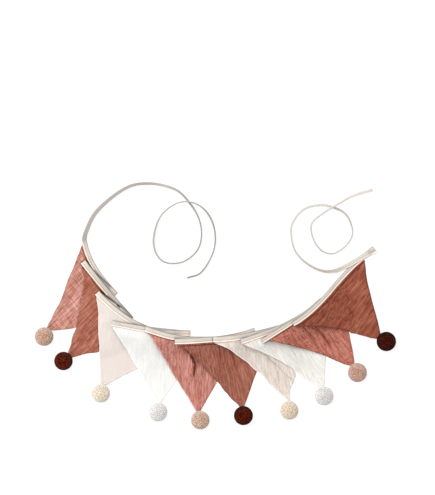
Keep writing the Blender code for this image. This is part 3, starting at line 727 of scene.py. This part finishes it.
# painted shade in the groove along the stitching
TAPE_SEAM = (0.36, 0.30, 0.255)
TAPE_LIT_LIP = (0.84, 0.70, 0.61)  # painted highlight on the turned-in edge outside the stitching
TAPE_STOPS = ((0.0, TAPE_EDGE_SHADE), (0.07, TAPE_EDGE_SHADE), (0.17, TAPE_BAND), (0.60, TAPE_BAND),
              (0.66, TAPE_SEAM), (0.70, TAPE_SEAM), (0.76, TAPE_LIT_LIP), (0.95, TAPE_LIT_LIP),
              (1.0, TAPE_EDGE_SHADE))
TIE_TONE = (0.42, 0.385, 0.35)  # of the two ties, sewn shut
TIE_SHARE = 0.75  # how far the ties take that tone
STANDING_SHADE = (0.92, 0.95, 0.97)  # painted shade of the ties where they stand on their edge


def rings_of(mesh, end):
    """The solid's cross-sections in order, each its eight corners in the same order."""
    first = sorted(mesh.verts, key=lambda vert: (vert.co.xy - end).length)[:8]
    seen = set(first)
    sets = [first]
    while True:
        following = {edge.other_vert(v) for v in sets[-1] for edge in v.link_edges} - seen
        if not following:
            break
        seen |= following
        sets.append(list(following))
    rings = [in_order(group) for group in sets[1:-1]]
    middle = len(rings) // 2
    rings[middle] = from_open_edge(rings[middle])
    for i in range(middle + 1, len(rings)):
        rings[i] = matched(rings[i], rings[i - 1])
    for i in range(middle - 1, -1, -1):
        rings[i] = matched(rings[i], rings[i + 1])
    ends = [closest(sets[0], rings[0]), closest(sets[-1], rings[-1])]
    return [[vert.co for vert in ring] for ring in (ends[0], *rings, ends[1])]


def in_order(group):
    """A cross-section's corners, walked round it."""
    group = set(group)
    ring = [next(iter(group))]
    while len(ring) < len(group):
        around = [edge.other_vert(ring[-1]) for edge in ring[-1].link_edges]
        ring.append(next(v for v in around if v in group and v not in ring))
    return ring


def from_open_edge(ring):
    """Turned so that it starts at a leaf's free edge and goes over the outside first."""
    def side(start):
        return (ring[start % 8].co - ring[(start + 1) % 8].co).length

    start = min(range(8), key=lambda k: side(k + 3) + side(k + 7))
    if side(start + 1) < side(start + 5):
        start += 4
    return [ring[(start + k) % 8] for k in range(8)]


def matched(ring, model):
    """The same corners, started and turned like the neighbouring cross-section."""
    choices = [[way[(start + k) % 8] for k in range(8)]
               for way in (ring, ring[::-1]) for start in range(8)]
    return min(choices, key=lambda way: sum((a.co - b.co).length for a, b in zip(way, model)))


def closest(group, ring):
    """An end's corners in the order of the section next to it."""
    left = list(group)
    ordered = []
    middle = sum((v.co for v in left), Vector()) / 8 - sum((v.co for v in ring), Vector()) / 8
    for corner in ring:
        found = min(left, key=lambda vert: (vert.co - middle - corner.co).length)
        left.remove(found)
        ordered.append(found)
    return ordered


def smooth_rows(rows, marks, wanted):
    """Cubic through the rows at their marks, read at the wanted marks."""
    slopes = np.gradient(rows, marks, axis=0)
    index = np.clip(np.searchsorted(marks, wanted, side="right") - 1, 0, len(marks) - 2)
    span = (marks[index + 1] - marks[index])[:, None]
    t = (wanted[:, None] - marks[index][:, None]) / span
    return ((2 * t**3 - 3 * t**2 + 1) * rows[index] + (t**3 - 2 * t**2 + t) * span * slopes[index]
            + (3 * t**2 - 2 * t**3) * rows[index + 1] + (t**3 - t**2) * span * slopes[index + 1])


def unit(rows):
    """The rows, each brought to length 1."""
    return rows / np.linalg.norm(rows, axis=1, keepdims=True)


def tape_section(half_thickness):
    """The closed outline: out over one leaf, round the fold, the other leaf, back inside."""
    upper, inner = ([(across, half_thickness + rise / 1000) for across, rise in points]
                    for points in (OUTER, INNER))
    lower = [(across, -height) for across, height in reversed(upper)]
    inner_low = [(across, -height) for across, height in inner]
    outline = upper + [(FOLD_OUTSIDE, 0.0)] + lower + inner_low
    return outline + [(FOLD_INSIDE, 0.0)] + inner[::-1]


def shaded(place, run):
    """How bright the painted shadow lines leave a place of a run of tape, 1 where there is none.
    """
    return math.prod(1 - shade.depth * beside(place, shade)[1]
                     for shade in SHADES if shade.run == run)


def tape_cotton(name):
    """Pressed cotton: painted light and shade, a fine grain and a twill weave."""
    paint, tree, shader = new_paint(name)
    strip = add_node(tree, "ShaderNodeUVMap", uv_map="UVMap")["UV"]
    parts = add_node(tree, "ShaderNodeSeparateXYZ", {"Vector": strip})
    share = rescaled(tree, parts["Y"], (-TAPE_HALF_WIDTH, TAPE_HALF_WIDTH), (0.0, 1.0))
    bands = with_gap_shade(tree, ramp(tree, share, TAPE_STOPS), GAP_DARK)
    tie_share = maths(tree, "MULTIPLY", kept(tree, "tie"), TIE_SHARE)
    toned = mixed(tree, bands, (*TIE_TONE, 1.0), tie_share, "MIX")
    grain = add_node(tree, "ShaderNodeTexNoise", {
        "Vector": turned(tree, strip, Scale=(90.0, 700.0, 1.0)), "Scale": 1.0, "Detail": 2.0})
    grained = mixed(tree, toned, rescaled(tree, grain["Fac"], (0.3, 0.7), (0.9, 1.06)))
    edge_on = mixed(tree, grained, (*STANDING_SHADE, 1.0), kept(tree, "standing"))
    twill = add_node(tree, "ShaderNodeTexWave", {
        "Vector": turned(tree, strip, Rotation=(0.0, 0.0, math.radians(45))),
        "Scale": 520.0, "Distortion": 1.5})
    # The tone holds the ties' tones, and the runs' painted light and shade and shadow lines.
    feed(tree, shader, {
        "Base Color": mixed(tree, edge_on, kept(tree, "tone")),
        "Normal": relief(tree, twill["Fac"], 0.3, 0.0001),
        "Roughness": 0.85, "Specular IOR Level": 0.2, "Sheen Weight": 0.1})
    return paint


rings = np.array(rings_of(tape_solid, LEFT_TIE_END))
corners = rings[:, :4]
centre = corners.mean(axis=1)
across = (corners[:, 0] + corners[:, 3] - corners[:, 1] - corners[:, 2]) / 2
thickness = np.linalg.norm(corners[:, 3] - corners[:, 0], axis=1)
normal = unit(corners[:, 0] - corners[:, 3])
marks = np.concatenate(([0.0], np.cumsum(np.linalg.norm(np.diff(centre, axis=0), axis=1))))
steps = [np.linspace(a, b, max(2, math.ceil((b - a) / TAPE_STEP)), endpoint=False)
         for a, b in zip(marks, marks[1:])]
wanted = np.concatenate((*steps, marks[-1:]))
tape_centre = smooth_rows(centre, marks, wanted)
tape_across = unit(smooth_rows(unit(across), marks, wanted))
tape_normal = unit(smooth_rows(normal, marks, wanted))
tape_half = np.interp(wanted, marks, thickness / 2)
near = [[mark for mark, place in zip(wanted, tape_centre) if tree.find(place)[2] < TAPE_HALF_WIDTH]
        for tree in top_trees]
run_middle = np.array([np.median(found) for found in near])
run_of = np.searchsorted((run_middle[1:] + run_middle[:-1]) / 2, wanted)
blend = np.hanning(STATIONS_BLENDED) / np.hanning(STATIONS_BLENDED).sum()
start_lighting, end_lighting, *bends = zip(*RUNS)
narrows, moves_x, moves_y = (
    np.convolve(np.pad(np.array(column)[run_of], STATIONS_BLENDED // 2, mode="edge"), blend,
                mode="valid")
    for column in bends)
tone_marks = [mark for middle in run_middle for mark in (middle - RUN_HALF, middle + RUN_HALF)]
tone_marks = [FROM_FREE_END, FROM_FREE_END + FREE_BLEND, tone_marks[0] - TONE_BLEND, *tone_marks,
              tone_marks[-1] + TONE_BLEND]
# Along the tape: the ties' tones, and between them the runs' painted light and shade.
tones = [tone for pair in zip(start_lighting, end_lighting) for tone in pair]
tones = np.interp(wanted, tone_marks, [PALE_TIE, DARK_TIE, DARK_TIE, *tones, RIGHT_TIE_TONE])
tape_centre += np.column_stack((moves_x, moves_y, 0 * moves_x)) / 1000
tape_centre = np.array([nudged(Vector(place), TIE_NUDGES) for place in tape_centre])

mesh = bmesh.new()
uv_layer = mesh.loops.layers.uv.new("UVMap")
layers = [mesh.verts.layers.float.new(name) for name in ("standing", "tie", "tone")]
sections = []
for i, mark in enumerate(wanted):
    ring = []
    standing = 1 - smooth_step(abs(tape_normal[i][2]), UPRIGHT, LYING)
    tie = 1 - smooth_step(tape_half[i], TIE_HALF, BINDING_HALF)
    from_flare = (Vector(tape_centre[i]).xy - FLARE_PLACE).length
    flare = FLARE * math.exp(-(from_flare / FLARE_REACH)**2) if run_of[i] == FLARED_RUN else 0.0
    sway = SIDE_SWAY * uneven(mark / SIDE_SWAY_LENGTH, 0.0, SIDE_SWAY_SEED)
    for j, (aside, height) in enumerate(tape_section(tape_half[i] + EDGE_PUFF * standing)):
        ripple = RIPPLE * uneven(mark / RIPPLE_LENGTH, j * RIPPLE_TURN, RIPPLE_SEED)
        slimmer = narrows[i] - flare if aside < 0 else -FLARE_OPEN_SIDE * flare
        aside *= 1 - slimmer / 1000 / TAPE_HALF_WIDTH
        place = tape_centre[i] + tape_across[i] * (aside / 1000 + sway)
        place = place + tape_normal[i] * (height + ripple)
        place[2] = max(place[2], 0.0)
        vert = mesh.verts.new(place)
        # the run's painted light and shade, times its painted shadow lines
        tone = tones[i] * shaded(vert.co, run_of[i] + 1)
        for layer, value in zip(layers, (standing, tie, tone)):
            vert[layer] = value
        ring.append(vert)
    sections.append(ring)
outline = tape_section(tape_half[0])
for i, (ring, following) in enumerate(zip(sections, sections[1:])):
    for j in range(len(outline)):
        k = (j + 1) % len(outline)
        face = mesh.faces.new((ring[j], ring[k], following[k], following[j]))
        places = ((i, j), (i, k), (i + 1, k), (i + 1, j))
        for loop, (station, column) in zip(face.loops, places):
            loop[uv_layer].uv = (wanted[station], outline[column][0] / 1000)
ends = [mesh.faces.new(sections[0][::-1]), mesh.faces.new(sections[-1])]
bmesh.ops.triangulate(mesh, faces=ends)
bmesh.ops.recalc_face_normals(mesh, faces=mesh.faces[:])
tape = placed_mesh("bias_tape", mesh)
tape.data.shade_smooth()
tape.data.materials.append(tape_cotton("cotton bias tape"))
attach(tape, "root")
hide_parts("binding_tape")


# The stitching: one line of machine stitches 2.3 mm across from the tape's middle, through both
# leaves and the flag between them, and on along the ties.
STITCH_ACROSS = 0.00225
STITCH_PITCH = 0.0031
STITCH_LENGTH = 0.0024
STITCH_WIDTH = 0.00042
STITCH_SINK = 0.00012  # of its thread's middle into the leaf
THREAD = (0.50, 0.44, 0.39)


def new_tree(name, *inputs):
    """A node tree with the named number inputs: its inputs to read, and its output to feed."""
    tree = bpy.data.node_groups.new(name, "GeometryNodeTree")
    tree.interface.new_socket("Geometry", in_out="INPUT", socket_type="NodeSocketGeometry")
    for title in inputs:
        tree.interface.new_socket(title, in_out="INPUT", socket_type="NodeSocketFloat")
    tree.interface.new_socket("Geometry", in_out="OUTPUT", socket_type="NodeSocketGeometry")
    return tree, tree.nodes.new("NodeGroupInput").outputs, tree.nodes.new("NodeGroupOutput")


def made_by_nodes(name, start, tree, sizes):
    """Runs a node tree on an object and returns the result as an object with a plain mesh."""
    maker = start.modifiers.new("nodes", "NODES")
    maker.node_group = tree
    for socket in tree.interface.items_tree:
        if socket.in_out == "INPUT" and socket.name in sizes:
            maker[socket.identifier] = sizes[socket.name]
    made = placed(name, applied(start, maker))
    bpy.data.objects.remove(start)
    return made


def end_painted(tree, result, geometry, paint):
    """Ends a node tree with the geometry in its paint."""
    painted = add_node(tree, "GeometryNodeSetMaterial", {"Geometry": geometry, "Material": paint})
    feed(tree, result, {"Geometry": painted["Geometry"]})


def sewing_thread(name):
    """Plain thread, a little darker between its plies."""
    paint, tree, shader = new_paint(name)
    place = add_node(tree, "ShaderNodeTexCoord")["Object"]
    ply = add_node(tree, "ShaderNodeTexNoise", {"Vector": place, "Scale": 900.0})
    shade = ramp(tree, ply["Fac"], ((0.0, [0.7 * c for c in THREAD]), (1.0, THREAD)))
    feed(tree, shader, {"Base Color": shade, "Roughness": 0.7})
    return paint


tree, source, result = new_tree("stitches", "Pitch", "Length", "Width")
places = add_node(tree, "GeometryNodeCurveToPoints", {
    "Curve": source["Geometry"], "Length": source["Pitch"]}, mode="LENGTH")
bead = add_node(tree, "GeometryNodeMeshUVSphere", {"Segments": 5, "Rings": 3, "Radius": 0.5})
size = add_node(tree, "ShaderNodeCombineXYZ", {
    "X": source["Width"], "Y": source["Width"], "Z": source["Length"]})
put = add_node(tree, "GeometryNodeInstanceOnPoints", {
    "Points": places["Points"], "Rotation": places["Rotation"],
    "Instance": bead["Mesh"], "Scale": size["Vector"]})
real = add_node(tree, "GeometryNodeRealizeInstances", {"Geometry": put["Instances"]})
end_painted(tree, result, real["Geometry"], sewing_thread("sewing thread"))

route = bpy.data.curves.new("seam", "CURVE")
route.dimensions = "3D"
for side in (1, -1):
    line = tape_centre + STITCH_ACROSS * tape_across
    line = line + side * (tape_half - STITCH_SINK)[:, None] * tape_normal
    spline = route.splines.new("POLY")
    spline.points.add(len(line) - 1)
    for point, place in zip(spline.points, line):
        point.co = (*place[:2], max(place[2], STITCH_WIDTH / 2), 1.0)
stitches = made_by_nodes("tape_stitches", placed("seam", route), tree, {
    "Pitch": STITCH_PITCH, "Length": STITCH_LENGTH, "Width": STITCH_WIDTH})
stitches.data.shade_smooth()
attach(stitches, "root")


# The pompoms: balls of cut wool yarn, tied round their middle and trimmed round, each sewn to a
# flag's tip. Each is a core with close tufts that stand out from it to one radius.
POMPOM_HEIGHT = 0.0183  # of its middle
CORE_SHARE = 0.85
TUFT_SPACING = 0.00125
TUFT_WIDTH = 0.00165
STRAND_TOP, STRAND_FOOT = 0.5, 0.42  # a strand's radius at its ends, as shares of its width
LEAN, TWIST = 0.16, 3.1  # how far a strand leans and turns at most, in radians
LOWEST = 0.0001  # a ball is pressed flat where it rests
SEED_STEP = 10
RIM_GREY = 0.5  # how far painted shade greys the sides of a ball

# Per pompom: the yarn's colour, how dull or bright its single strands are, how bright the
# painted shade leaves its sides against its top, its radius, in mm, and how far, in mm, it lies
# off the middle of its solid.
Yarn = namedtuple("Yarn", "red green blue dull bright side radius off_x off_y")
YARNS = [Yarn(*row) for row in (
    (0.747, 0.481, 0.353, 0.72, 1.20, 1.00, 19.6, 1.3, 0),
    (0.112, 0.0155, 0.006, 0.40, 2.20, 0.45, 19.4, 1.1, -0.4),
    (0.955, 0.845, 0.685, 0.90, 1.04, 0.97, 19.4, 0, 0),
    (0.920, 0.890, 0.870, 0.92, 1.03, 0.97, 19.8, -1.3, 0.7),
    (0.800, 0.564, 0.428, 0.72, 1.20, 0.95, 19.5, -0.4, 0.7),
    (0.094, 0.0118, 0.0034, 0.40, 2.20, 0.45, 20.0, 0, 0),
    (0.945, 0.795, 0.640, 0.90, 1.04, 0.95, 19.4, 0, 0),
    (0.893, 0.875, 0.860, 0.92, 1.03, 0.97, 19.8, 0, 0.4),
    (0.753, 0.467, 0.356, 0.72, 1.20, 0.97, 20.0, -1.2, 0.6),
    (0.064, 0.0085, 0.0047, 0.40, 2.20, 0.45, 20.4, -1.2, 0.6),
)]


def wool(name, yarn):
    """Matt wool, with painted shade down between its tufts and on its sides."""
    paint, tree, shader = new_paint(name)
    colour = yarn[:3]
    # painted shade down between the tufts, lighter towards the cut ends
    depth = ramp(tree, kept(tree, "out"), ((0.84, [0.82 * c for c in colour]), (0.96, colour)))
    grey = 0.35 * yarn.red + 0.45 * yarn.green + 0.20 * yarn.blue
    side = [yarn.side * ((1 - RIM_GREY) * c + RIM_GREY * grey) / c for c in colour]
    # painted shade that greys the ball's sides, more the lower they are
    side_shaded = mixed(tree, depth, ramp(tree, kept(tree, "up"), ((0.30, side), (0.88, WHITE[:3]))))
    tone = rescaled(tree, kept(tree, "tuft"), (0.0, 1.0), (yarn.dull, yarn.bright))
    feed(tree, shader, {
        "Base Color": mixed(tree, side_shaded, tone), "Roughness": 0.95, "Specular IOR Level": 0.03,
        "Sheen Weight": 0.10, "Sheen Roughness": 0.4, "Sheen Tint": (*colour, 1.0)})
    return paint


def pompom_tree(paint, seed):
    """Tufts on a ball: one tapered, four-sided strand each, leant a little at random."""
    tree, source, result = new_tree("pompom", "Radius", "Core share", "Spacing", "Width")
    radius, core_share, spacing, width = (
        source[title] for title in ("Radius", "Core share", "Spacing", "Width"))
    core_radius = maths(tree, "MULTIPLY", radius, core_share)
    ball = add_node(tree, "GeometryNodeMeshIcoSphere", {
        "Subdivisions": 4, "Radius": core_radius})["Mesh"]
    scatter = add_node(tree, "GeometryNodeDistributePointsOnFaces", {
        "Mesh": ball, "Distance Min": maths(tree, "MULTIPLY", spacing, core_share),
        "Density Max": 1.5e6, "Seed": seed}, distribute_method="POISSON")
    strand = add_node(tree, "GeometryNodeMeshCone", {
        "Vertices": 4, "Side Segments": 2, "Depth": 1.0,
        "Radius Top": STRAND_TOP, "Radius Bottom": STRAND_FOOT})
    size = add_node(tree, "ShaderNodeCombineXYZ", {
        "X": width, "Y": width, "Z": maths(tree, "SUBTRACT", radius, core_radius)})
    lean = add_node(tree, "FunctionNodeRandomValue", {
        "Min": (-LEAN, -LEAN, -TWIST), "Max": (LEAN, LEAN, TWIST), "Seed": seed + 1},
        data_type="FLOAT_VECTOR")
    turn = add_node(tree, "FunctionNodeRotateEuler", {
        "Rotation": scatter["Rotation"], "Rotate By": lean["Value"]}, space="LOCAL")
    put = add_node(tree, "GeometryNodeInstanceOnPoints", {
        "Points": scatter["Points"], "Instance": strand["Mesh"],
        "Rotation": turn["Rotation"], "Scale": size["Vector"]})
    tuft = add_node(tree, "FunctionNodeRandomValue", {"Seed": seed + 2})
    marked = add_node(tree, "GeometryNodeStoreNamedAttribute", {
        "Geometry": put["Instances"], "Name": "tuft", "Value": tuft[1]},
        domain="INSTANCE")
    real = add_node(tree, "GeometryNodeRealizeInstances", {"Geometry": marked["Geometry"]})
    both = tree.nodes.new("GeometryNodeJoinGeometry")
    for piece in (ball, real["Geometry"]):
        feed(tree, both, {"Geometry": piece})
    whole = both.outputs["Geometry"]
    place = add_node(tree, "GeometryNodeInputPosition")["Position"]
    out = add_node(tree, "ShaderNodeVectorMath", {0: place}, operation="LENGTH")["Value"]
    up = add_node(tree, "ShaderNodeSeparateXYZ", {"Vector": place})["Z"]
    for name, length in (("out", out), ("up", up)):
        whole = add_node(tree, "GeometryNodeStoreNamedAttribute", {
            "Geometry": whole, "Name": name,
            "Value": maths(tree, "DIVIDE", length, radius)})["Geometry"]
    end_painted(tree, result, whole, paint)
    return tree


for number, yarn in enumerate(YARNS, 1):
    node = f"pompom_{number:02d}"
    paint = wool(f"wool of pompom {number}", yarn)
    start = placed("start", bpy.data.meshes.new("start"))
    pompom = made_by_nodes(f"wool_{node}", start, pompom_tree(paint, SEED_STEP * number), {
        "Radius": yarn.radius / 1000, "Core share": CORE_SHARE, "Spacing": TUFT_SPACING,
        "Width": TUFT_WIDTH})
    middle = middle_of(node) + Vector((yarn.off_x, yarn.off_y, 0.0)) / 1000
    middle.z = POMPOM_HEIGHT
    for vert in pompom.data.vertices:
        vert.co = vert.co + middle
        vert.co.z = max(vert.co.z, LOWEST)
    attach(pompom, "root")
    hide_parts(node)
